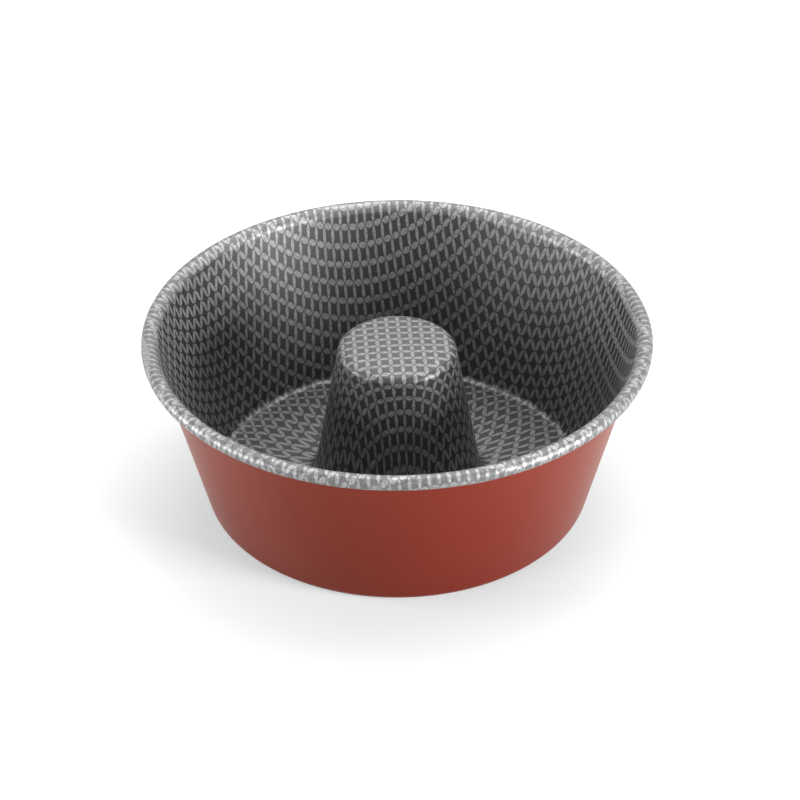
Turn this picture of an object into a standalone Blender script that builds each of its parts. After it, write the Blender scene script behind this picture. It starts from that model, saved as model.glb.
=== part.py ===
"""Deep round ring cake pan: one drawn sheet with a hollow centre cone and a rolled, wired rim.

The pan is turned about the Z axis and rests on the XY plane. All sizes are in metres.

Every layer follows one section, a chain of round bends joined by straight runs that touch them:
over the crowned top of the cone, down its side, across the ring-shaped floor, up the wall, over the
shoulder and round the curl of the rim. A bend keeps its centre from layer to layer and only
its radius changes, so the layers stay parallel all the way.
"""

import math
from collections import namedtuple

import bpy
from mathutils import Vector

# Overall sizes
RIM_OUTER_RADIUS = 0.1200
OVERALL_HEIGHT = 0.0894

# Layers, from the baking side outwards
LINING_THICKNESS = 0.0002
LAYER_GAP = 0.0003
SHEET_THICKNESS = 0.0008

# Centre cone, measured on its baking side: its top rises by a shallow crown to the axis
CONE_TOP_HEIGHT = 0.0803
CONE_TOP_CROWN = 0.0010
CONE_TOP_RADIUS = 0.0242
CONE_EDGE_RADIUS = 0.0042
CONE_FOOT_FILLET = 0.0060

# Ring-shaped floor, between the fillets on its two sides
FLOOR_INNER_RADIUS = 0.0467
FLOOR_OUTER_RADIUS = 0.0884
WALL_FOOT_FILLET = 0.0035

# Rolled rim over its wire hoop
WIRE_RADIUS = 0.00175
WIRE_CLEARANCE = 0.0003
SHOULDER_RADIUS = 0.0065
SHOULDER_EXIT = math.radians(30.0)
LIP_GAP = 0.0010

# Fineness of the turned meshes
TURN_STEPS = 48
BEND_STEP = math.radians(22.5)
BEND_CHORD = 0.0065
WIRE_SIDES = 10
MERGE_DISTANCE = 0.00001

# Sizes that follow from the ones above
STACK_THICKNESS = LINING_THICKNESS + LAYER_GAP + SHEET_THICKNESS
CURL_RADIUS = WIRE_RADIUS + WIRE_CLEARANCE + STACK_THICKNESS

# Finishes: base colour, roughness and metallic value
RED_ENAMEL = ((0.38, 0.048, 0.034, 1.0), 0.42, 0.0)
GREY_NONSTICK = ((0.095, 0.095, 0.100, 1.0), 0.40, 0.0)
STEEL_WIRE = ((0.56, 0.56, 0.57, 1.0), 0.35, 1.0)

# A bend turns the section from one direction of travel to another. Its radius is positive
# where the section turns down or outwards, with the centre on the right of the travel.
Bend = namedtuple("Bend", "centre radius start end")


def left_normal(direction):
    """Unit vector on the left of a direction of travel, towards the baking side."""
    return Vector((-math.sin(direction), math.cos(direction)))


def touching_direction(first_centre, first_radius, second_centre, second_radius):
    """Direction of the straight run that leaves one round and touches the next."""
    span = second_centre - first_centre
    lean = math.asin((first_radius - second_radius) / span.length)
    return math.atan2(span.y, span.x) - lean


def lip_direction(curl_centre, shoulder_centre, wall_direction):
    """Direction of travel where the curl ends, LIP_GAP short of the outside of the wall."""
    outward = -left_normal(wall_direction)
    wall_point = shoulder_centre - outward * (SHOULDER_RADIUS - STACK_THICKNESS)
    reach = (curl_centre - wall_point).dot(outward)
    past_widest = math.acos((LIP_GAP - reach) / CURL_RADIUS)
    return wall_direction - math.pi - past_widest


def pan_bends():
    """The bends of the section on the baking side, in order from the axis to the lip."""
    crown_drop = CONE_TOP_CROWN + CONE_EDGE_RADIUS
    cone_edge = Vector((CONE_TOP_RADIUS, CONE_TOP_HEIGHT - crown_drop))
    crown_radius = (crown_drop**2 + CONE_TOP_RADIUS**2 - CONE_EDGE_RADIUS**2) / (2 * CONE_TOP_CROWN)
    crown = Vector((0.0, CONE_TOP_HEIGHT - crown_radius))
    cone_foot = Vector((FLOOR_INNER_RADIUS, STACK_THICKNESS + CONE_FOOT_FILLET))
    wall_foot = Vector((FLOOR_OUTER_RADIUS, STACK_THICKNESS + WALL_FOOT_FILLET))
    curl = Vector((RIM_OUTER_RADIUS - CURL_RADIUS, OVERALL_HEIGHT - CURL_RADIUS))
    shoulder = curl - left_normal(SHOULDER_EXIT) * (SHOULDER_RADIUS - CURL_RADIUS)

    level = 0.0
    straight_down = -math.pi / 2
    crown_end = -math.asin(CONE_TOP_RADIUS / (crown_radius - CONE_EDGE_RADIUS))
    cone_side = touching_direction(cone_edge, CONE_EDGE_RADIUS, cone_foot, -CONE_FOOT_FILLET)
    wall = touching_direction(wall_foot, -WALL_FOOT_FILLET, shoulder, SHOULDER_RADIUS)
    lip = lip_direction(curl, shoulder, wall)
    return [
        Bend(crown, crown_radius, level, crown_end),
        Bend(cone_edge, CONE_EDGE_RADIUS, crown_end, cone_side),
        Bend(cone_foot, -CONE_FOOT_FILLET, cone_side, level),
        Bend(wall_foot, -WALL_FOOT_FILLET, level, wall),
        Bend(shoulder, SHOULDER_RADIUS, wall, SHOULDER_EXIT),
        Bend(curl, CURL_RADIUS, SHOULDER_EXIT, level),
        Bend(curl, CURL_RADIUS, level, straight_down),
        Bend(curl, CURL_RADIUS, straight_down, lip),
    ]


def section_points(depth):
    """Points of the section at a depth under the baking side, from the axis to the lip."""
    points = [Vector((0.0, CONE_TOP_HEIGHT - depth))]
    for bend in pan_bends():
        turn = abs(bend.end - bend.start)
        steps = max(math.ceil(turn / BEND_STEP), math.ceil(turn * abs(bend.radius) / BEND_CHORD))
        for step in range(steps + 1):
            direction = bend.start + (bend.end - bend.start) * step / steps
            point = bend.centre + left_normal(direction) * (bend.radius - depth)
            if (point - points[-1]).length > MERGE_DISTANCE:
                points.append(point)
    return points


def clear_scene():
    """Remove every object of the open scene."""
    for old_object in list(bpy.data.objects):
        bpy.data.objects.remove(old_object, do_unlink=True)


def make_material(name, finish):
    """A Principled material with a finish's colour, roughness and metallic value."""
    colour, roughness, metallic = finish
    material = bpy.data.materials.new(name)
    material.use_nodes = True
    shader = material.node_tree.nodes["Principled BSDF"]
    shader.inputs["Base Color"].default_value = colour
    shader.inputs["Roughness"].default_value = roughness
    shader.inputs["Metallic"].default_value = metallic
    material.diffuse_color = colour
    return material


def turned_sheet(name, depth, thickness, material):
    """A sheet of even thickness, turned from the section at a depth under the baking side."""
    points = section_points(depth)
    profile = bpy.data.meshes.new(name)
    corners = [(point.x, 0.0, point.y) for point in points]
    edges = [(index, index + 1) for index in range(len(points) - 1)]
    profile.from_pydata(corners, edges, [])
    profile.materials.append(material)
    sheet = bpy.data.objects.new(name, profile)

    turn = sheet.modifiers.new("Turn", 'SCREW')
    turn.axis = 'Z'
    turn.steps = TURN_STEPS
    turn.render_steps = TURN_STEPS
    turn.use_merge_vertices = True
    turn.merge_threshold = MERGE_DISTANCE
    turn.use_smooth_shade = True

    wall = sheet.modifiers.new("Sheet thickness", 'SOLIDIFY')
    wall.thickness = thickness
    wall.offset = -1.0
    wall.use_even_offset = True
    wall.use_quality_normals = True

    shading = sheet.modifiers.new("Flat runs stay flat", 'WEIGHTED_NORMAL')
    shading.keep_sharp = True
    return sheet


def build_drawn_shell():
    """The drawn aluminium sheet, red outside: wall, floor, hollow cone and curl in one piece."""
    material = make_material("red_enamel", RED_ENAMEL)
    depth = LINING_THICKNESS + LAYER_GAP
    return turned_sheet("drawn_shell", depth, SHEET_THICKNESS, material)


def build_nonstick_lining():
    """The grey baking layer, which also wraps the outside of the rolled rim."""
    material = make_material("grey_nonstick", GREY_NONSTICK)
    return turned_sheet("nonstick_lining", 0.0, LINING_THICKNESS, material)


def build_rim_wire():
    """The steel hoop that the rim is rolled over, at the centre of the curl."""
    curl = pan_bends()[-1]
    bpy.ops.mesh.primitive_torus_add(
        major_radius=curl.centre.x,
        minor_radius=WIRE_RADIUS,
        major_segments=TURN_STEPS,
        minor_segments=WIRE_SIDES,
        location=(0.0, 0.0, curl.centre.y),
    )
    wire = bpy.context.active_object
    wire.name = "rim_wire"
    wire.data.name = "rim_wire"
    wire.data.materials.append(make_material("steel_wire", STEEL_WIRE))
    wire.data.shade_smooth()
    return wire


def main():
    """Model the pan in its own collection, with its parts parented to one empty."""
    clear_scene()
    collection = bpy.data.collections.new("ring_cake_pan")
    bpy.context.scene.collection.children.link(collection)
    origin = bpy.data.objects.new("pan_origin", None)
    collection.objects.link(origin)
    for part in (build_drawn_shell(), build_nonstick_lining(), build_rim_wire()):
        for owner in list(part.users_collection):
            owner.objects.unlink(part)
        collection.objects.link(part)
        part.parent = origin


main()
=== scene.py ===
"""Dressed model of the round ring cake pan, standing on a white studio floor.

The pan is one drawn sheet. Its section is the chain of touching bends of the solid model, cut finer, and
every layer is turned from it at its own depth. The print of the baking face was put on the flat blank and
went through the press with it, so each point of the section knows which ring of the blank it came from,
and the leaf lattice is laid out on that blank.

Lengths are in metres, with Z along the pan's axis and the pan standing on the XY plane.
"""

import logging
import math
from bisect import bisect_right
from collections.abc import Sequence
from dataclasses import dataclass, field
from enum import Enum

import bmesh
import bpy
from mathutils import Matrix, Vector


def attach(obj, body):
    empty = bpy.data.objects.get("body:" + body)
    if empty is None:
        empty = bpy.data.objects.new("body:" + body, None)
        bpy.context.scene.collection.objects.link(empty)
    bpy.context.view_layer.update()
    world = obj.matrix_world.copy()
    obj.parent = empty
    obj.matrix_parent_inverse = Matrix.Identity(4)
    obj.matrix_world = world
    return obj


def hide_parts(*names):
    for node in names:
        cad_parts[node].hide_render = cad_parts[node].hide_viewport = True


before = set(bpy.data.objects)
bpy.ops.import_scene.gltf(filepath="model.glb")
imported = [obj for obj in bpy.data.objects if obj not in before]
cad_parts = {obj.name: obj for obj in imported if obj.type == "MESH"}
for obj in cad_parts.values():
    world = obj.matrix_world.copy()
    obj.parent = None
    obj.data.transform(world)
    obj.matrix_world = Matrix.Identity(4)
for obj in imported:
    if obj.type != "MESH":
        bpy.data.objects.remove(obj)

logger = logging.getLogger("ring_cake_pan")

Colour = tuple[float, float, float]
Input = float | Sequence[float] | bpy.types.NodeSocket

BODY = "root"
PRINT_PLACE = "print_place"
MILLIMETRES_PER_METRE = 1000.0
# A length or a count that is off by no more than this is only rounded.
ROUNDING = 1e-6


class SheetFace(Enum):
    """The faces of a turned sheet, by the slot that each takes its material from."""

    BAKING_SIDE = 0
    FAR_SIDE = 1
    CUT_EDGE = 2


class SocketKind(Enum):
    """Kinds of socket on a shader group."""

    VALUE = "NodeSocketFloat"
    VECTOR = "NodeSocketVector"


# Section of the pan


@dataclass(frozen=True)
class Bend:
    """A round bend of the section, which turns the travel along it from one direction to another.

    Attributes:
        centre: Its centre, as radius and height.
        radius: Radius of the baking face, positive where the section turns down or outwards.
        start: Direction of travel where it begins, in radians.
        end: Direction of travel where it ends, in radians.
    """

    centre: Vector
    radius: float
    start: float
    end: float

    def point(self, direction: float, depth: float) -> Vector:
        """Point of the bend where the travel has a direction, at a depth under the baking face."""
        return self.centre + left_normal(direction) * (self.radius - depth)


@dataclass(frozen=True)
class SectionPoint:
    """A point of the section.

    Attributes:
        radius: Its distance from the pan's axis.
        height: Its height over the ground.
        run: Way along the baking face from the axis.
    """

    radius: float
    height: float
    run: float


def left_normal(direction: float) -> Vector:
    """Unit vector on the left of a direction of travel, towards the baking side."""
    return Vector((-math.sin(direction), math.cos(direction)))


def touching_direction(first: Vector, first_radius: float, second: Vector, second_radius: float) -> float:
    """Find the straight run that leaves one round and touches the next.

    Args:
        first: Centre of the round that the run leaves.
        first_radius: Its signed radius.
        second: Centre of the round that the run reaches.
        second_radius: Its signed radius.

    Returns:
        The run's direction of travel in radians.
    """
    span = second - first
    return math.atan2(span.y, span.x) - math.asin((first_radius - second_radius) / span.length)


@dataclass(frozen=True)
class PanSection:
    """Sizes of the drawn section, the same as in the solid model.

    The last two, bend_step and run_step, are how finely its bends and straight runs are cut here.
    """

    rim_outer_radius: float = 0.1200
    overall_height: float = 0.0894
    lining_thickness: float = 0.0002
    layer_gap: float = 0.0003
    sheet_thickness: float = 0.0008
    cone_top_height: float = 0.0803
    cone_top_crown: float = 0.0010
    cone_top_radius: float = 0.0242
    cone_edge_radius: float = 0.0042
    cone_foot_fillet: float = 0.0060
    floor_inner_radius: float = 0.0467
    floor_outer_radius: float = 0.0884
    wall_foot_fillet: float = 0.0035
    wire_radius: float = 0.00175
    wire_clearance: float = 0.0003
    shoulder_radius: float = 0.0065
    shoulder_exit: float = math.radians(30.0)
    lip_gap: float = 0.0010
    bend_step: float = math.radians(7.5)
    run_step: float = 0.0026

    @property
    def stack_thickness(self) -> float:
        """Height of the floor's baking face over the ground."""
        return self.lining_thickness + self.layer_gap + self.sheet_thickness

    @property
    def shell_depth(self) -> float:
        """Depth of the sheet's own upper face under the baking face."""
        return self.lining_thickness + self.layer_gap

    @property
    def curl_radius(self) -> float:
        """Outer radius of the rolled rim."""
        return self.wire_radius + self.wire_clearance + self.stack_thickness

    @property
    def curl_centre(self) -> Vector:
        """Centre of the rolled rim, which is also the wire's."""
        return Vector((self.rim_outer_radius - self.curl_radius, self.overall_height - self.curl_radius))

    def lip_direction(self, shoulder: Vector, wall: float) -> float:
        """Find where the curl ends, its lip a little short of the outside of the wall.

        Args:
            shoulder: Centre of the shoulder's bend.
            wall: Direction of travel up the wall.

        Returns:
            The direction of travel at the lip in radians.
        """
        outward = -left_normal(wall)
        wall_point = shoulder - outward * (self.shoulder_radius - self.stack_thickness)
        reach = (self.curl_centre - wall_point).dot(outward)
        return wall - math.pi - math.acos((self.lip_gap - reach) / self.curl_radius)

    def bends(self) -> list[Bend]:
        """Lay the bends of the section one after the other.

        Returns:
            The bends in order, from the pan's axis to the lip of the rim.
        """
        crown_drop = self.cone_top_crown + self.cone_edge_radius
        rise = crown_drop**2 + self.cone_top_radius**2 - self.cone_edge_radius**2
        crown_radius = rise / (2 * self.cone_top_crown)
        crown = Vector((0.0, self.cone_top_height - crown_radius))
        cone_edge = Vector((self.cone_top_radius, self.cone_top_height - crown_drop))
        cone_foot = Vector((self.floor_inner_radius, self.stack_thickness + self.cone_foot_fillet))
        wall_foot = Vector((self.floor_outer_radius, self.stack_thickness + self.wall_foot_fillet))
        curl = self.curl_centre
        shoulder = curl - left_normal(self.shoulder_exit) * (self.shoulder_radius - self.curl_radius)

        level, down = 0.0, -math.pi / 2
        crown_end = -math.asin(self.cone_top_radius / (crown_radius - self.cone_edge_radius))
        side = touching_direction(cone_edge, self.cone_edge_radius, cone_foot, -self.cone_foot_fillet)
        wall = touching_direction(wall_foot, -self.wall_foot_fillet, shoulder, self.shoulder_radius)
        return [
            Bend(crown, crown_radius, level, crown_end),
            Bend(cone_edge, self.cone_edge_radius, crown_end, side),
            Bend(cone_foot, -self.cone_foot_fillet, side, level),
            Bend(wall_foot, -self.wall_foot_fillet, level, wall),
            Bend(shoulder, self.shoulder_radius, wall, self.shoulder_exit),
            Bend(curl, self.curl_radius, self.shoulder_exit, level),
            Bend(curl, self.curl_radius, level, down),
            Bend(curl, self.curl_radius, down, self.lip_direction(shoulder, wall)),
        ]

    def stops(self) -> list[tuple[Bend, float, float]]:
        """Divide the section into short steps that are the same for every layer.

        Returns:
            A bend, a direction of travel on it and the length of straight run past it, for each point.
        """
        found: list[tuple[Bend, float, float]] = []
        bends = self.bends()
        for bend, following in zip(bends, [*bends[1:], None]):
            turn = abs(bend.end - bend.start)
            parts = max(math.ceil(turn / self.bend_step), math.ceil(turn * abs(bend.radius) / self.run_step))
            found += [(bend, bend.start + (bend.end - bend.start) * k / parts, 0.0) for k in range(parts + 1)]
            if following is None:
                continue
            length = (following.point(following.start, 0.0) - bend.point(bend.end, 0.0)).length
            parts = math.ceil(length / self.run_step - ROUNDING)
            found += [(bend, bend.end, length * k / parts) for k in range(1, parts)]
            if parts <= 0:
                found.pop()
        return found

    def points(self, depth: float) -> list[SectionPoint]:
        """Walk the section at a depth under the baking face.

        Args:
            depth: Distance below the baking face.

        Returns:
            The points from the pan's axis to the lip, as many as at any other depth.
        """
        found: list[SectionPoint] = []
        run = 0.0
        before: Vector | None = None
        for bend, direction, past in self.stops():
            travel = Vector((math.cos(direction), math.sin(direction))) * past
            face = bend.point(direction, 0.0) + travel
            run += (face - before).length if before else 0.0
            before = face
            place = bend.point(direction, depth) + travel
            found.append(SectionPoint(max(place.x, 0.0), place.y, run))
        return found


# Print of the baking face


@dataclass(frozen=True)
class DrawStation:
    """Where one ring of the flat printed blank ended up in the pressed pan.

    Attributes:
        run: Way along the finished section from the axis, in millimetres.
        blank_radius: Radius of the ring on the blank, in millimetres.
        turned: How far the blank lay turned in the press, in degrees.
        across: Shift of the lattice across its columns, in pitches.
        along: Shift of the lattice along its columns, in pitches.
        oval: How much more the ring was drawn in along one direction of the sheet's rolling.
    """

    run: float
    blank_radius: float
    turned: float
    across: float
    along: float
    oval: float = 0.0


@dataclass(frozen=True)
class PrintedBlank:
    """The flat blank with its leaf lattice, followed through the press.

    Attributes:
        pitch: Pitch of the lattice on the blank, in millimetres.
        stations: Rings from the axis to the lip of the rim. All but the last are the rounded output of
            a numerical fit to the photograph's print, made outside this script. The last carries the
            one before it on to the lip.
    """

    pitch: float = 5.347
    stations: tuple[DrawStation, ...] = (
        DrawStation(0.0, 0.0, 3.5, 0.73, 0.23),
        DrawStation(20.0, 19.9, 3.5, 0.73, 0.25),
        DrawStation(30.0, 28.8, 3.2, 0.69, 0.43),
        DrawStation(42.0, 38.3, 3.6, 0.67, 0.35, 0.002),
        DrawStation(73.0, 54.4, 5.2, 0.68, 0.18),
        DrawStation(118.0, 69.9, 8.6, 1.10, -0.20, 0.045),
        DrawStation(130.0, 77.6, 8.8, 1.08, -0.47, 0.027),
        DrawStation(142.0, 85.8, 9.1, 1.02, -0.98, 0.017),
        DrawStation(150.0, 93.0, 9.2, 0.92, -1.07, 0.005),
        DrawStation(158.0, 98.8, 9.3, 0.87, -1.11, 0.004),
        DrawStation(190.0, 116.7, 9.7, 0.90, -1.03, 0.007),
        DrawStation(228.0, 137.4, 10.6, 0.91, -1.00, 0.008),
        DrawStation(256.0, 152.6, 10.5, 0.91, -1.12, 0.009),
        DrawStation(266.0, 157.6, 10.5, 0.91, -1.12, 0.009),
    )

    def station(self, run: float) -> DrawStation:
        """Find the draw of any ring by a smooth course through the fitted ones.

        Args:
            run: Way along the finished section from the axis, in metres.

        Returns:
            The draw at that ring.
        """
        at = run * MILLIMETRES_PER_METRE
        last = len(self.stations) - 1
        k = min(max(bisect_right([s.run for s in self.stations], at) - 1, 0), last - 1)
        four = [self.stations[min(max(k + step, 0), last)] for step in (-1, 0, 1, 2)]
        names = ("blank_radius", "turned", "across", "along", "oval")
        return DrawStation(at, *(smooth_course([(s.run, getattr(s, n)) for s in four], at) for n in names))

    def place(self, draw: DrawStation, angle: float) -> tuple[float, float, float]:
        """Give a point of the pan its place in the lattice.

        Args:
            draw: The draw of the ring that the point lies on.
            angle: The point's angle about the pan's axis, in radians.

        Returns:
            The columns and rows of the lattice, counted from its origin, and the ring's run in millimetres.
        """
        radius = draw.blank_radius * (1.0 + draw.oval * math.cos(2.0 * angle)) / self.pitch
        turned = angle - math.radians(draw.turned)
        return (radius * math.cos(turned) + draw.across, radius * math.sin(turned) + draw.along, draw.run)


def smooth_course(four: Sequence[tuple[float, float]], at: float) -> float:
    """Read a smooth curve between the middle two of four points.

    Args:
        four: Places and values of the points before, at both ends of, and after the stretch.
        at: The place to read, within the stretch.

    Returns:
        The value there.
    """
    (x0, y0), (x1, y1), (x2, y2), (x3, y3) = four
    width = x2 - x1
    first = (y2 - y0) / (x2 - x0)
    second = (y3 - y1) / (x3 - x1)
    t = (at - x1) / width
    ahead, back = t * t * (3.0 - 2.0 * t), t * (1.0 - t)
    return y1 + (y2 - y1) * ahead + width * back * (first * (1.0 - t) - second * t)


# Turned sheets


@dataclass(frozen=True)
class TurnedSheet:
    """A sheet of even thickness, turned about the pan's axis from two depths of the section.

    Attributes:
        name: What the sheet is called.
        section: The section that it is turned from.
        upper_depth: Depth of its upper face under the baking face.
        lower_depth: Depth of its lower face.
        turn_steps: How many points a ring has.
        blank: The printed blank that its points come from.
    """

    name: str
    section: PanSection
    upper_depth: float
    lower_depth: float
    turn_steps: int = 216
    blank: PrintedBlank = field(default_factory=PrintedBlank)

    def layer(self, mesh: bmesh.types.BMesh, depth: float) -> list[list[bmesh.types.BMVert]]:
        """Turn one face of the sheet.

        Args:
            mesh: The mesh that takes the points.
            depth: Depth of the face under the baking face.

        Returns:
            The rings of points, the first of them the single point on the axis.
        """
        place = mesh.verts.layers.float_vector[PRINT_PLACE]
        rings = []
        for point in self.section.points(depth):
            draw = self.blank.station(point.run)
            count = self.turn_steps if point.radius > ROUNDING else 1
            ring = []
            for step in range(count):
                angle = math.tau * step / count
                corner = (point.radius * math.cos(angle), point.radius * math.sin(angle), point.height)
                vert = mesh.verts.new(corner)
                vert[place] = self.blank.place(draw, angle)
                ring.append(vert)
            rings.append(ring)
        return rings

    def skin(self, mesh: bmesh.types.BMesh, rings: list[list[bmesh.types.BMVert]], face: SheetFace) -> None:
        """Close the rings of one face with quads, and with triangles round the axis.

        Args:
            mesh: The mesh that takes the faces.
            rings: The rings of points of that face.
            face: Which face of the sheet it is.
        """
        for inner, outer in zip(rings, rings[1:]):
            for step in range(self.turn_steps):
                after = (step + 1) % self.turn_steps
                if len(inner) == 1:
                    corners = [inner[0], outer[step], outer[after]]
                else:
                    corners = [inner[step], outer[step], outer[after], inner[after]]
                if face is SheetFace.FAR_SIDE:
                    corners.reverse()
                made = mesh.faces.new(corners)
                made.material_index = face.value
                made.smooth = True

    def build(self, materials: dict[SheetFace, bpy.types.Material]) -> bpy.types.Object:
        """Make the sheet as an object.

        Args:
            materials: The material of each face of the sheet.

        Returns:
            The sheet, linked to the scene.
        """
        shape = bmesh.new()
        shape.verts.layers.float_vector.new(PRINT_PLACE)
        upper = self.layer(shape, self.upper_depth)
        lower = self.layer(shape, self.lower_depth)
        self.skin(shape, upper, SheetFace.BAKING_SIDE)
        self.skin(shape, lower, SheetFace.FAR_SIDE)
        for step in range(self.turn_steps):
            after = (step + 1) % self.turn_steps
            edge = shape.faces.new([upper[-1][step], lower[-1][step], lower[-1][after], upper[-1][after]])
            edge.material_index = SheetFace.CUT_EDGE.value
            # The cut edge keeps its two corners sharp.
            for side in edge.edges:
                side.smooth = len({corner in upper[-1] for corner in side.verts}) == 2
        mesh = bpy.data.meshes.new(self.name)
        shape.to_mesh(mesh)
        shape.free()
        for face in SheetFace:
            mesh.materials.append(materials[face])
        sheet = bpy.data.objects.new(self.name, mesh)
        bpy.context.scene.collection.objects.link(sheet)
        shading = sheet.modifiers.new("Straight runs stay straight", 'WEIGHTED_NORMAL')
        shading.keep_sharp = True
        return sheet


# Shader wiring and groups


class Wiring:
    """Short calls that lay and join the nodes of one tree."""

    def __init__(self, tree: bpy.types.NodeTree) -> None:
        """Take the tree that the nodes go into."""
        self.tree = tree

    def node(self, kind: str, **settings: object) -> bpy.types.Node:
        """Add a node.

        Args:
            kind: Blender's name of the node's type.
            **settings: Properties to set on it.

        Returns:
            The new node.
        """
        made = self.tree.nodes.new(kind)
        for name, value in settings.items():
            setattr(made, name, value)
        return made

    def feed(self, socket: bpy.types.NodeSocket, value: Input) -> None:
        """Join an output to an input socket, or set a plain value on it.

        Args:
            socket: The input socket.
            value: The output to join, or the plain value.
        """
        if isinstance(value, bpy.types.NodeSocket):
            self.tree.links.new(value, socket)
        else:
            socket.default_value = value

    def math(self, operation: str, *values: Input) -> bpy.types.NodeSocket:
        """Add a Math node.

        Args:
            operation: Blender's name of the operation.
            *values: What its inputs get, in order.

        Returns:
            The result's socket.
        """
        made = self.node("ShaderNodeMath", operation=operation)
        for socket, value in zip(made.inputs, values):
            self.feed(socket, value)
        return made.outputs[0]

    def ramp(self, value: Input, low: Input, high: Input, bottom: Input = 0.0,
             top: Input = 1.0) -> bpy.types.NodeSocket:
        """Take a value from one range smoothly into another.

        Args:
            value: What is read.
            low: Where the ramp begins.
            high: Where the ramp ends.
            bottom: The result up to its beginning.
            top: The result past its end.

        Returns:
            The result's socket.
        """
        made = self.node("ShaderNodeMapRange", interpolation_type='SMOOTHSTEP')
        for name, given in zip(("Value", "From Min", "From Max", "To Min", "To Max"),
                               (value, low, high, bottom, top)):
            self.feed(made.inputs[name], given)
        return made.outputs["Result"]

    def blend(self, share: Input, first: Input, second: Input) -> bpy.types.NodeSocket:
        """Mix two colours.

        Args:
            share: Share of the second colour.
            first: The colour at a share of 0.
            second: The colour at a share of 1.

        Returns:
            The mixed colour's socket.
        """
        # A Mix node's sockets 0, 6 and 7 are the share and the two colours, and output 2 is the result.
        made = self.node("ShaderNodeMix", data_type='RGBA', clamp_factor=True)
        for index, value in zip((0, 6, 7), (share, first, second)):
            self.feed(made.inputs[index], value)
        return made.outputs[2]

    def group(self, tree: bpy.types.NodeTree, **values: Input) -> bpy.types.Node:
        """Place a shader group.

        Args:
            tree: The group.
            **values: What its inputs get, by their names in lower case with underscores.

        Returns:
            The group's node.
        """
        made = self.node("ShaderNodeGroup", node_tree=tree)
        for name, value in values.items():
            self.feed(made.inputs[name.replace("_", " ").title()], value)
        return made


class ShaderGroup:
    """A shader group that is built once and then placed in many materials."""

    name = "group"
    inputs: tuple[tuple[str, SocketKind, float | None], ...] = ()
    outputs: tuple[tuple[str, SocketKind], ...] = ()

    def tree(self) -> bpy.types.NodeTree:
        """Get the group, building it the first time that it is asked for.

        Returns:
            The group's tree.
        """
        kept = bpy.data.node_groups.get(self.name)
        if kept is not None:
            return kept
        made = bpy.data.node_groups.new(self.name, 'ShaderNodeTree')
        for name, kind, value in self.inputs:
            socket = made.interface.new_socket(name, in_out='INPUT', socket_type=kind.value)
            if value is not None:
                socket.default_value = value
        for name, kind in self.outputs:
            made.interface.new_socket(name, in_out='OUTPUT', socket_type=kind.value)
        wiring = Wiring(made)
        self.fill(wiring, wiring.node("NodeGroupInput").outputs, wiring.node("NodeGroupOutput").inputs)
        return made

    def fill(self, wiring: Wiring, given: bpy.types.bpy_prop_collection,
             wanted: bpy.types.bpy_prop_collection) -> None:
        """Lay the group's nodes between its inputs and its outputs.

        Args:
            wiring: The wiring of the group's tree.
            given: Outputs of the group's input node.
            wanted: Inputs of the group's output node.
        """
        raise NotImplementedError


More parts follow.
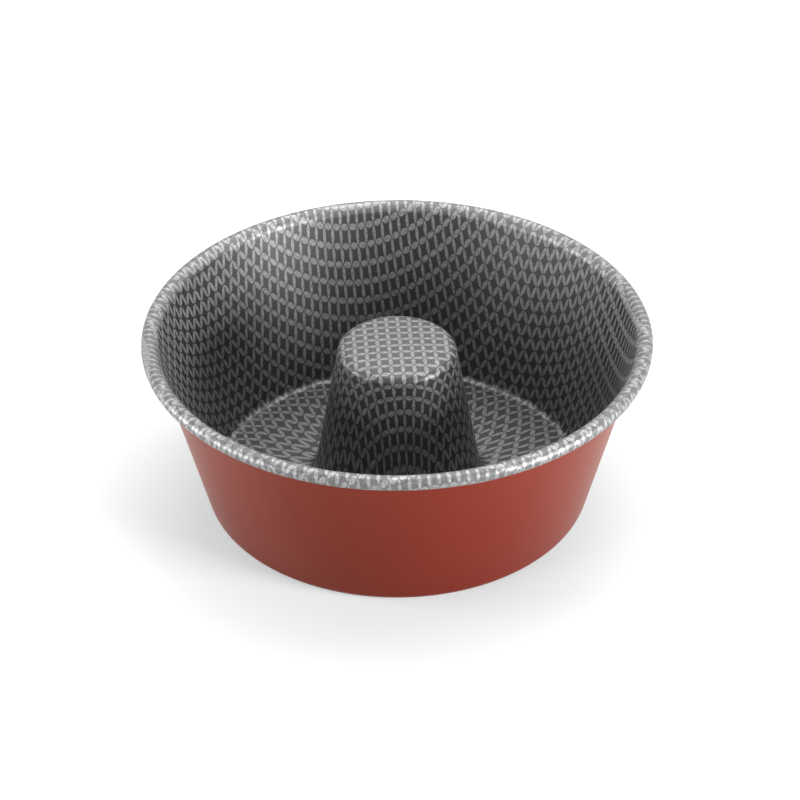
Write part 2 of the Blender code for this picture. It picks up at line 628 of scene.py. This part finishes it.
class LeafLattice(ShaderGroup):
    """Four pointed leaves meet at each node of a square lattice, parted by fine diagonal gaps."""

    name = "leaf_lattice"
    inputs = (
        ("Place", SocketKind.VECTOR, None),
        ("Half Length", SocketKind.VALUE, 0.49),
        ("Half Width", SocketKind.VALUE, 0.182),
        ("Rising Gap", SocketKind.VALUE, 0.035),
        ("Falling Gap", SocketKind.VALUE, 0.020),
        ("Softness", SocketKind.VALUE, 0.03),
    )
    outputs = (("Leaf", SocketKind.VALUE),)

    def fill(self, wiring: Wiring, given: bpy.types.bpy_prop_collection,
             wanted: bpy.types.bpy_prop_collection) -> None:
        """Lay the nodes that draw the leaves and their gaps.

        Args:
            wiring: The wiring of the group's tree.
            given: Outputs of the group's input node.
            wanted: Inputs of the group's output node.
        """
        parts = wiring.node("ShaderNodeSeparateXYZ")
        wiring.feed(parts.inputs[0], given["Place"])
        column, row = parts.outputs[0], parts.outputs[1]
        squared = wiring.math('MULTIPLY', given["Half Length"], given["Half Length"])
        total = wiring.math('DIVIDE', squared, given["Half Width"])
        arc = wiring.math('MULTIPLY', wiring.math('ADD', total, given["Half Width"]), 0.5)
        offset = wiring.math('SUBTRACT', arc, given["Half Width"])
        inside = wiring.math('MAXIMUM', self.within(wiring, column, row, arc, offset),
                             self.within(wiring, row, column, arc, offset))
        half = wiring.math('MULTIPLY', given["Softness"], 0.5)
        leaf = wiring.ramp(inside, wiring.math('MULTIPLY', half, -1.0), half)
        for operation, gap in (('SUBTRACT', "Rising Gap"), ('ADD', "Falling Gap")):
            line = self.off_centre(wiring, wiring.math(operation, column, row))
            away = wiring.math('MULTIPLY', line, math.sqrt(0.5))
            clear = wiring.ramp(away, wiring.math('SUBTRACT', given[gap], half),
                                wiring.math('ADD', given[gap], half))
            leaf = wiring.math('MULTIPLY', leaf, clear)
        wiring.feed(wanted["Leaf"], leaf)

    @staticmethod
    def off_centre(wiring: Wiring, value: bpy.types.NodeSocket) -> bpy.types.NodeSocket:
        """Distance of a value from the nearest whole number."""
        return wiring.math('ABSOLUTE', wiring.math('SUBTRACT', value, wiring.math('ROUND', value)))

    def within(self, wiring: Wiring, length: bpy.types.NodeSocket, side: bpy.types.NodeSocket,
               arc: bpy.types.NodeSocket, offset: bpy.types.NodeSocket) -> bpy.types.NodeSocket:
        """Find how far a place lies inside the leaves of one direction.

        Args:
            wiring: The wiring of the group's tree.
            length: The coordinate along the leaves.
            side: The coordinate across them.
            arc: Radius of a leaf's two round sides.
            offset: Distance of their centres from the leaf's middle line.

        Returns:
            The distance in pitches, negative outside.
        """
        middle = wiring.math('SUBTRACT', wiring.math('FRACT', length), 0.5)
        away = wiring.math('ADD', self.off_centre(wiring, side), offset)
        squares = wiring.math('ADD', wiring.math('MULTIPLY', middle, middle),
                              wiring.math('MULTIPLY', away, away))
        return wiring.math('SUBTRACT', arc, wiring.math('SQRT', squares))


class FineGrain(ShaderGroup):
    """Two sizes of mottling in a coat: fine pigment grain, and slow patches under it."""

    name = "fine_grain"
    inputs = (
        ("Place", SocketKind.VECTOR, None),
        ("Grain Scale", SocketKind.VALUE, 2600.0),
        ("Patch Scale", SocketKind.VALUE, 90.0),
        ("Grain", SocketKind.VALUE, 0.2),
        ("Patches", SocketKind.VALUE, 0.1),
    )
    outputs = (("Tone", SocketKind.VALUE), ("Height", SocketKind.VALUE))

    def fill(self, wiring: Wiring, given: bpy.types.bpy_prop_collection,
             wanted: bpy.types.bpy_prop_collection) -> None:
        """Lay the nodes of the grain.

        Args:
            wiring: The wiring of the group's tree.
            given: Outputs of the group's input node.
            wanted: Inputs of the group's output node.
        """
        tone: Input = 1.0
        for scale, share, detail in (("Grain Scale", "Grain", 2.0), ("Patch Scale", "Patches", 3.0)):
            noise = wiring.node("ShaderNodeTexNoise")
            wiring.feed(noise.inputs["Vector"], given["Place"])
            wiring.feed(noise.inputs["Scale"], given[scale])
            noise.inputs["Detail"].default_value = detail
            swing = wiring.math('MULTIPLY', wiring.math('SUBTRACT', noise.outputs["Fac"], 0.5), given[share])
            tone = wiring.math('MULTIPLY_ADD', swing, 2.0, tone)
            if scale == "Grain Scale":
                wiring.feed(wanted["Height"], noise.outputs["Fac"])
        wiring.feed(wanted["Tone"], tone)


class OrangePeel(ShaderGroup):
    """The slow ripple and fine tooth of a sprayed and baked coat, as a height."""

    name = "orange_peel"
    inputs = (
        ("Place", SocketKind.VECTOR, None),
        ("Ripple Scale", SocketKind.VALUE, 420.0),
        ("Tooth Scale", SocketKind.VALUE, 3000.0),
        ("Tooth", SocketKind.VALUE, 0.3),
    )
    outputs = (("Height", SocketKind.VALUE),)

    def fill(self, wiring: Wiring, given: bpy.types.bpy_prop_collection,
             wanted: bpy.types.bpy_prop_collection) -> None:
        """Lay the nodes of the ripple.

        Args:
            wiring: The wiring of the group's tree.
            given: Outputs of the group's input node.
            wanted: Inputs of the group's output node.
        """
        heights = []
        for scale in ("Ripple Scale", "Tooth Scale"):
            noise = wiring.node("ShaderNodeTexNoise")
            wiring.feed(noise.inputs["Vector"], given["Place"])
            wiring.feed(noise.inputs["Scale"], given[scale])
            noise.inputs["Detail"].default_value = 1.5
            heights.append(noise.outputs["Fac"])
        wiring.feed(wanted["Height"], wiring.math('MULTIPLY_ADD', heights[1], given["Tooth"], heights[0]))


# Finishes


@dataclass(frozen=True)
class Finish:
    """What every finish has: a name, and a material with one Principled shader."""

    name: str

    def material(self) -> bpy.types.Material:
        """Get the finish's material, building it the first time that it is asked for.

        Returns:
            The material.
        """
        kept = bpy.data.materials.get(self.name)
        if kept is not None:
            return kept
        made = bpy.data.materials.new(self.name)
        made.use_nodes = True
        wiring = Wiring(made.node_tree)
        self.dress(wiring, made.node_tree.nodes["Principled BSDF"])
        return made

    def dress(self, wiring: Wiring, shader: bpy.types.Node) -> None:
        """Lay the nodes that feed the Principled shader.

        Args:
            wiring: The wiring of the material's tree.
            shader: The Principled shader.
        """
        raise NotImplementedError

    @staticmethod
    def bump(wiring: Wiring, shader: bpy.types.Node, height: bpy.types.NodeSocket, depth: float,
             under: bpy.types.NodeSocket | None = None) -> bpy.types.NodeSocket:
        """Feed a height to the shader's normal.

        Args:
            wiring: The wiring of the material's tree.
            shader: The Principled shader.
            height: Height from 0 to 1.
            depth: What a height of 1 stands for, in metres.
            under: The normal of a coarser bump that this one lies on.

        Returns:
            The bump's normal.
        """
        made = wiring.node("ShaderNodeBump")
        made.inputs["Distance"].default_value = depth
        wiring.feed(made.inputs["Height"], height)
        if under is not None:
            wiring.feed(made.inputs["Normal"], under)
        wiring.feed(shader.inputs["Normal"], made.outputs["Normal"])
        return made.outputs["Normal"]


def shade(colour: Colour) -> tuple[float, float, float, float]:
    """A colour with the fourth number that a colour socket takes."""
    return (*colour, 1.0)


@dataclass(frozen=True)
class GreyNonstick(Finish):
    """The dark non-stick coat with its lighter printed leaf lattice, and a painted sheen with some wear on
    the rolled rim.

    Attributes:
        ground: Colour of the coat.
        leaf: Colour of the printed ink.
        leaf_metal: Share of metal pigment in the ink.
        roughness: Roughness of both under the grain's share.
        grain_roughness: The grain's share of the roughness.
        specular_level: Strength of the gloss.
        rim_wear_sheen_from: Where along the section the wear begins, in millimetres.
        rim_wear_sheen_to: Where it is full, in millimetres.
        rim_sheen_tone: What the wear fades the print towards.
        rim_sheen_share: How far it fades it.
        worn_metal: How much more metal shows there.
        edge_roughness: How far the ink's edges stray, in pitches.
        edge_scale: How often they stray along one pitch.
        print_depth: Thickness of the ink in metres.
        tooth_depth: Height of the coat's grain in metres.
    """

    ground: Colour = (0.0100, 0.0100, 0.0103)
    leaf: Colour = (0.233, 0.235, 0.238)
    leaf_metal: float = 0.35
    roughness: float = 0.35
    grain_roughness: float = 0.10
    specular_level: float = 0.86
    # rim_wear_sheen_from: Where the rim's painted sheen and wear begin along the section, in millimetres.         rim_wear_sheen_to: Where they are full, in millimetres.         rim_sheen_tone: The white that the painted sheen fades the print towards.         rim_sheen_share: How far the painted sheen fades it.
    rim_wear_sheen_from: float = 238.0
    rim_wear_sheen_to: float = 243.0
    rim_sheen_tone: Colour = (1.0, 1.0, 1.0)
    rim_sheen_share: float = 0.13
    worn_metal: float = 0.18
    edge_roughness: float = 0.16
    edge_scale: float = 6.5
    print_depth: float = 0.000012
    tooth_depth: float = 0.000006

    def dress(self, wiring: Wiring, shader: bpy.types.Node) -> None:
        """Lay the print over the ground, with grain in both.

        Args:
            wiring: The wiring of the material's tree.
            shader: The Principled shader.
        """
        place = wiring.node("ShaderNodeAttribute", attribute_name=PRINT_PLACE).outputs["Vector"]
        world = wiring.node("ShaderNodeTexCoord").outputs["Object"]
        wander = wiring.node("ShaderNodeTexNoise")
        wiring.feed(wander.inputs["Vector"], place)
        wander.inputs["Scale"].default_value = self.edge_scale
        centred = wiring.node("ShaderNodeVectorMath", operation='SUBTRACT')
        wiring.feed(centred.inputs[0], wander.outputs["Color"])
        centred.inputs[1].default_value = (0.5, 0.5, 0.5)
        moved = wiring.node("ShaderNodeVectorMath", operation='MULTIPLY_ADD')
        wiring.feed(moved.inputs[0], centred.outputs[0])
        moved.inputs[1].default_value = (self.edge_roughness, self.edge_roughness, 0.0)
        wiring.feed(moved.inputs[2], place)

        lattice = wiring.group(LeafLattice().tree(), place=moved.outputs[0])
        grain = wiring.group(FineGrain().tree(), place=world, grain_scale=2400.0, patch_scale=850.0,
                             grain=0.35, patches=1.0)
        leaf = lattice.outputs["Leaf"]
        run = wiring.node("ShaderNodeSeparateXYZ")
        wiring.feed(run.inputs[0], place)
        # Along the rolled rim the print is faded towards white, a painted sheen on the rim, and more metal
        # shows where the coat is worn.
        rim_wear_and_sheen = wiring.ramp(run.outputs[2], self.rim_wear_sheen_from, self.rim_wear_sheen_to)
        printed = wiring.blend(leaf, shade(self.ground), shade(self.leaf))
        painted_rim_sheen = wiring.math('MULTIPLY', rim_wear_and_sheen, self.rim_sheen_share)
        printed = wiring.blend(painted_rim_sheen, printed, shade(self.rim_sheen_tone))
        toned = wiring.node("ShaderNodeVectorMath", operation='SCALE')
        wiring.feed(toned.inputs[0], printed)
        wiring.feed(toned.inputs["Scale"], grain.outputs["Tone"])
        wiring.feed(shader.inputs["Base Color"], toned.outputs[0])
        metal = wiring.math('MULTIPLY', leaf, self.leaf_metal)
        wiring.feed(shader.inputs["Metallic"], wiring.math('MULTIPLY_ADD', rim_wear_and_sheen, self.worn_metal, metal))
        rough = wiring.math('MULTIPLY_ADD', grain.outputs["Tone"], self.grain_roughness, self.roughness)
        wiring.feed(shader.inputs["Roughness"], rough)
        shader.inputs["Specular IOR Level"].default_value = self.specular_level
        step = self.bump(wiring, shader, leaf, self.print_depth)
        self.bump(wiring, shader, grain.outputs["Height"], self.tooth_depth, step)


@dataclass(frozen=True)
class RedEnamel(Finish):
    """The satin red coat of the outside.

    Attributes:
        colour: Colour of the coat.
        metal_pigment: Share of metal pigment in it.
        gloss_tint: Warmth of its gloss.
        roughness: Roughness of its surface.
        specular_level: Strength of the gloss.
        peel_depth: Height of the sprayed coat's ripple in metres.
    """

    colour: Colour = (0.199, 0.0118, 0.0055)
    metal_pigment: float = 0.14
    gloss_tint: Colour = (1.0, 0.74, 0.44)
    roughness: float = 0.30
    specular_level: float = 0.44
    peel_depth: float = 0.000010

    def dress(self, wiring: Wiring, shader: bpy.types.Node) -> None:
        """Lay a little mottling in the colour and the ripple of a sprayed coat.

        Args:
            wiring: The wiring of the material's tree.
            shader: The Principled shader.
        """
        world = wiring.node("ShaderNodeTexCoord").outputs["Object"]
        grain = wiring.group(FineGrain().tree(), place=world, grain_scale=2200.0, patch_scale=26.0,
                             grain=0.05, patches=0.07)
        toned = wiring.node("ShaderNodeVectorMath", operation='SCALE')
        toned.inputs[0].default_value = self.colour
        wiring.feed(toned.inputs["Scale"], grain.outputs["Tone"])
        wiring.feed(shader.inputs["Base Color"], toned.outputs[0])
        rough = wiring.math('MULTIPLY', grain.outputs["Tone"], self.roughness)
        wiring.feed(shader.inputs["Roughness"], rough)
        shader.inputs["Metallic"].default_value = self.metal_pigment
        shader.inputs["Specular IOR Level"].default_value = self.specular_level
        shader.inputs["Specular Tint"].default_value = shade(self.gloss_tint)
        peel = wiring.group(OrangePeel().tree(), place=world, ripple_scale=420.0, tooth_scale=3200.0,
                            tooth=0.25)
        self.bump(wiring, shader, peel.outputs["Height"], self.peel_depth)


@dataclass(frozen=True)
class BareMetal(Finish):
    """Bare metal with fine lines that the tool left along it.

    Attributes:
        colour: Colour of the metal.
        roughness: Roughness of its surface.
        line_scale: How closely the lines lie along X, Y and Z.
        line_depth: Height of the lines in metres.
    """

    colour: Colour
    roughness: float
    line_scale: tuple[float, float, float]
    line_depth: float = 0.000004

    def dress(self, wiring: Wiring, shader: bpy.types.Node) -> None:
        """Lay the tool's lines in tone, gloss and height.

        Args:
            wiring: The wiring of the material's tree.
            shader: The Principled shader.
        """
        place = wiring.node("ShaderNodeMapping")
        wiring.feed(place.inputs["Vector"], wiring.node("ShaderNodeTexCoord").outputs["Object"])
        place.inputs["Scale"].default_value = self.line_scale
        grain = wiring.group(FineGrain().tree(), place=place.outputs[0], grain_scale=900.0, patch_scale=60.0,
                             grain=0.16, patches=0.10)
        toned = wiring.node("ShaderNodeVectorMath", operation='SCALE')
        toned.inputs[0].default_value = self.colour
        wiring.feed(toned.inputs["Scale"], grain.outputs["Tone"])
        wiring.feed(shader.inputs["Base Color"], toned.outputs[0])
        rough = wiring.math('MULTIPLY', grain.outputs["Tone"], self.roughness)
        wiring.feed(shader.inputs["Roughness"], rough)
        shader.inputs["Metallic"].default_value = 1.0
        self.bump(wiring, shader, grain.outputs["Height"], self.line_depth)


@dataclass(frozen=True)
class WhiteGround:
    """The studio floor: white to the camera, with the pan's shadow kept on it.

    Attributes:
        name: What the material is called.
        albedo: Colour of the floor.
        lift: The floor's own white where the camera sees it near the pan.
        lift_in_gloss: The same in reflections.
        fade_start: Distance from the pan's axis where the floor begins to turn all white, in metres.
        fade_end: Distance where it has turned all white, in metres.
    """

    name: str = "white_ground"
    albedo: Colour = (0.80, 0.80, 0.80)
    lift: float = 0.40
    lift_in_gloss: float = 0.24
    fade_start: float = 0.40
    fade_end: float = 0.90

    def material(self) -> bpy.types.Material:
        """Build the floor's material, which is seen through from below.

        Returns:
            The material.
        """
        made = bpy.data.materials.new(self.name)
        made.use_nodes = True
        wiring = Wiring(made.node_tree)
        made.node_tree.nodes.clear()
        matt = wiring.node("ShaderNodeBsdfDiffuse")
        matt.inputs["Color"].default_value = shade(self.albedo)
        glow = wiring.node("ShaderNodeEmission")
        path = wiring.node("ShaderNodeLightPath")
        direct = wiring.math('MAXIMUM', path.outputs["Is Camera Ray"], path.outputs["Is Transmission Ray"])
        mirrored = wiring.math('MULTIPLY', path.outputs["Is Glossy Ray"], self.lift_in_gloss)
        reach = wiring.node("ShaderNodeVectorMath", operation='LENGTH')
        wiring.feed(reach.inputs[0], wiring.node("ShaderNodeTexCoord").outputs["Object"])
        lift = wiring.ramp(reach.outputs["Value"], self.fade_start, self.fade_end, self.lift, 1.0)
        wiring.feed(glow.inputs["Strength"], wiring.math('MULTIPLY_ADD', direct, lift, mirrored))
        both = wiring.node("ShaderNodeAddShader")
        wiring.feed(both.inputs[0], matt.outputs[0])
        wiring.feed(both.inputs[1], glow.outputs[0])
        below = wiring.node("ShaderNodeMixShader")
        wiring.feed(below.inputs[0], wiring.node("ShaderNodeNewGeometry").outputs["Backfacing"])
        wiring.feed(below.inputs[1], both.outputs[0])
        wiring.feed(below.inputs[2], wiring.node("ShaderNodeBsdfTransparent").outputs[0])
        wiring.feed(wiring.node("ShaderNodeOutputMaterial").inputs["Surface"], below.outputs[0])
        return made


GREY_COAT = GreyNonstick("grey_nonstick_print")
RED_COAT = RedEnamel("red_satin_enamel")
BARE_ALUMINIUM = BareMetal("bare_aluminium", (0.74, 0.74, 0.75), 0.34, (1.0, 1.0, 6.0))
DRAWN_STEEL = BareMetal("drawn_steel_wire", (0.56, 0.56, 0.57), 0.32, (0.6, 0.6, 5.0))


# Pieces of the pan


@dataclass(frozen=True)
class PanLining:
    """The grey printed coat: baking face, and round the outside of the rolled rim."""

    section: PanSection

    def build(self) -> bpy.types.Object:
        """Turn the coat and set it in the place of its solid.

        Returns:
            The coat.
        """
        sheet = TurnedSheet("pan_lining", self.section, 0.0, self.section.lining_thickness)
        piece = sheet.build(dict.fromkeys(SheetFace, GREY_COAT.material()))
        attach(piece, BODY)
        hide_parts("nonstick_lining")
        return piece


@dataclass(frozen=True)
class PanShell:
    """The drawn aluminium sheet, red outside and bare at its cut edge."""

    section: PanSection

    def build(self) -> bpy.types.Object:
        """Turn the sheet and set it in the place of its solid.

        Returns:
            The sheet.
        """
        upper = self.section.shell_depth
        sheet = TurnedSheet("pan_shell", self.section, upper, upper + self.section.sheet_thickness)
        piece = sheet.build({
            SheetFace.BAKING_SIDE: BARE_ALUMINIUM.material(),
            SheetFace.FAR_SIDE: RED_COAT.material(),
            SheetFace.CUT_EDGE: BARE_ALUMINIUM.material(),
        })
        # The red coat throws no red light on the white floor, as in the photograph.
        piece.visible_diffuse = False
        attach(piece, BODY)
        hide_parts("drawn_shell")
        return piece


@dataclass(frozen=True)
class RimWire:
    """The steel hoop inside the rolled rim, kept from the solid model."""

    node: str = "rim_wire"

    def build(self) -> bpy.types.Object:
        """Give the hoop of the solid model its drawn steel finish.

        Returns:
            The hoop.
        """
        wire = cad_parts[self.node]
        for material_slot in wire.material_slots:
            material_slot.link = 'OBJECT'
            material_slot.material = DRAWN_STEEL.material()
        return wire


# Studio


@dataclass(frozen=True)
class Softbox:
    """A square area lamp round the pan, which looks at the pan's middle.

    Attributes:
        name: What the lamp is called.
        bearing: Its direction about the pan, in degrees from +X towards +Y.
        rise: Its height over the horizon, in degrees.
        side: Length of its sides in metres.
        watts: Its power.
        distance: How far from the pan's middle it hangs, in metres.
        middle: The pan's middle.
    """

    name: str
    bearing: float
    rise: float
    side: float
    watts: float
    distance: float = 1.5
    middle: tuple[float, float, float] = (0.0, 0.0, 0.045)

    def build(self) -> bpy.types.Object:
        """Hang the lamp, out of the camera's sight.

        Returns:
            The lamp.
        """
        lamp = bpy.data.lights.new(self.name, 'AREA')
        lamp.shape = 'SQUARE'
        lamp.size = self.side
        lamp.energy = self.watts
        bearing, rise = math.radians(self.bearing), math.radians(self.rise)
        level = math.cos(rise)
        outwards = Vector((math.cos(bearing) * level, math.sin(bearing) * level, math.sin(rise)))
        held = bpy.data.objects.new(self.name, lamp)
        held.location = Vector(self.middle) + outwards * self.distance
        held.rotation_euler = (-outwards).to_track_quat('-Z', 'Y').to_euler()
        held.visible_camera = False
        bpy.context.scene.collection.objects.link(held)
        return held


@dataclass(frozen=True)
class Studio:
    """Floor, lamps, surrounding white and camera.

    The camera's lens, shift, place, target and roll come from a fit to the photograph, made outside this
    script and rounded.

    Attributes:
        floor_radius: Radius of the round floor.
        floor_height: Height of the floor, a hair under the pan's base.
        focal_length: Focal length in millimetres, for a frame of sensor_width.
        sensor_width: Width of the camera's frame in millimetres.
        shift: Sideways shift of the lens, in frame widths.
        eye: Place of the camera.
        target: Point that the camera looks at.
        roll: Turn of the camera about its line of sight, in radians.
        softboxes: The lamps. Their powers began as a fit to the photograph's tones, and most were then
            changed after comparing renders with it.
    """

    floor_radius: float = 2.5
    floor_height: float = -0.0003
    focal_length: float = 112.74
    sensor_width: float = 36.0
    shift: float = 0.00326
    eye: tuple[float, float, float] = (0.0, -0.9816, 0.7380)
    target: tuple[float, float, float] = (0.0, 0.0, 0.0479)
    roll: float = -0.0060
    softboxes: tuple[Softbox, ...] = (
        Softbox("high_back", 78.0, 48.0, 1.1, 4.3),
        Softbox("top_back", 90.0, 68.0, 1.1, 4.6),
        Softbox("top_right", 30.0, 68.0, 1.1, 7.3),
        Softbox("top_left", 150.0, 68.0, 1.1, 5.0),
        Softbox("low_left", 180.0, 12.0, 0.6, 11.6),
        Softbox("low_front_left", 210.0, 12.0, 0.6, 7.4),
        Softbox("low_front_right", 330.0, 12.0, 0.6, 29.0),
    )

    def floor(self) -> bpy.types.Object:
        """Lay the floor as a round sheet just under the pan.

        Returns:
            The floor.
        """
        shape = bmesh.new()
        bmesh.ops.create_circle(shape, cap_ends=True, segments=96, radius=self.floor_radius)
        mesh = bpy.data.meshes.new("studio_floor")
        shape.to_mesh(mesh)
        shape.free()
        mesh.materials.append(WhiteGround().material())
        floor = bpy.data.objects.new("studio_floor", mesh)
        floor.location.z = self.floor_height
        bpy.context.scene.collection.objects.link(floor)
        return floor

    def surround(self) -> None:
        """Make the world white to the camera and in reflections, and no light of its own."""
        world = bpy.data.worlds.new("studio_white")
        world.use_nodes = True
        wiring = Wiring(world.node_tree)
        background = world.node_tree.nodes["Background"]
        background.inputs["Color"].default_value = (1.0, 1.0, 1.0, 1.0)
        path = wiring.node("ShaderNodeLightPath")
        seen = wiring.math('MAXIMUM', path.outputs["Is Camera Ray"], path.outputs["Is Glossy Ray"])
        seen = wiring.math('MAXIMUM', seen, path.outputs["Is Transmission Ray"])
        wiring.feed(background.inputs["Strength"], seen)
        bpy.context.scene.world = world

    def camera(self) -> bpy.types.Object:
        """Set the camera at the photograph's distance, height and slight turn.

        Returns:
            The camera.
        """
        lens = bpy.data.cameras.new("studio_camera")
        lens.lens = self.focal_length
        lens.sensor_width = self.sensor_width
        lens.shift_x = self.shift
        lens.clip_start, lens.clip_end = 0.05, 20.0
        camera = bpy.data.objects.new("studio_camera", lens)
        eye = Vector(self.eye)
        aim = (Vector(self.target) - eye).to_track_quat('-Z', 'Y').to_matrix().to_4x4()
        camera.matrix_world = Matrix.Translation(eye) @ aim @ Matrix.Rotation(self.roll, 4, 'Z')
        bpy.context.scene.collection.objects.link(camera)
        bpy.context.scene.camera = camera
        return camera

    def build(self) -> None:
        """Set up the whole studio."""
        self.camera()
        self.surround()
        self.floor()
        for softbox in self.softboxes:
            softbox.build()
        bpy.context.scene.view_settings.view_transform = 'Standard'


def main() -> None:
    """Build the pan and its studio in order, and report each piece."""
    logging.basicConfig(level=logging.INFO, format="%(name)s: %(message)s")
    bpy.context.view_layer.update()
    section = PanSection()
    for assembly in (PanShell(section), PanLining(section), RimWire()):
        piece = assembly.build()
        logger.info("%s: %d faces", piece.name, len(piece.data.polygons))
    Studio().build()


if __name__ == "__main__":
    main()
